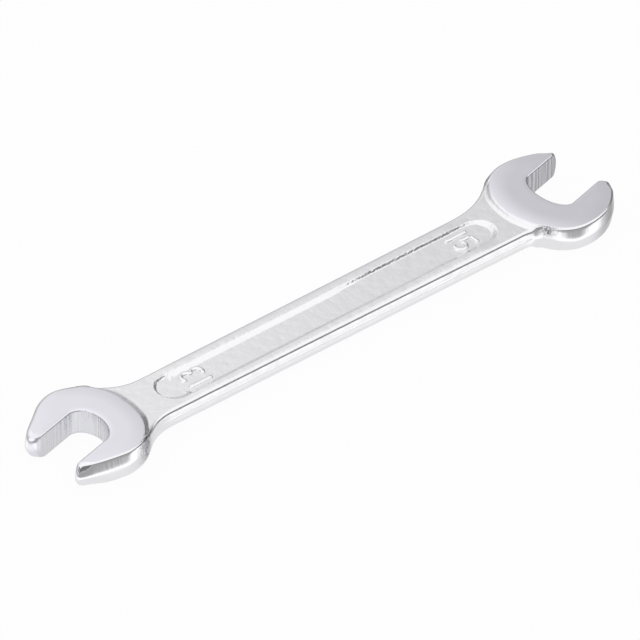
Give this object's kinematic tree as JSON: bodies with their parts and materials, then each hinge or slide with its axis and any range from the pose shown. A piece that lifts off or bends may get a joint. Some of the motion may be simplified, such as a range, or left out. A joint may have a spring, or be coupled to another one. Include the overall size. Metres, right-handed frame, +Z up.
{
  "type": "double open end wrench",
  "caption": "Double open end wrench: a flat plated forging with an angled open jaw at each end, a slim recessed shank and raised size numerals.",
  "frame": {"origin": "middle of the wrench's own box in plan, at the level of the heads' lower faces, on which it lies", "axes": "+X along the shank towards the larger head, +Y across the heads' faces, +Z up out of the upper face"},
  "size_m": [0.1762, 0.0338, 0.0072],
  "materials": {
    "plated_steel": "bright chromium plate over forged steel, polished flat on the faces of the heads and as forged on the shank"
  },
  "bodies": {
    "root": {"wrench_body": "plated_steel"}
  },
  "joints": []
}
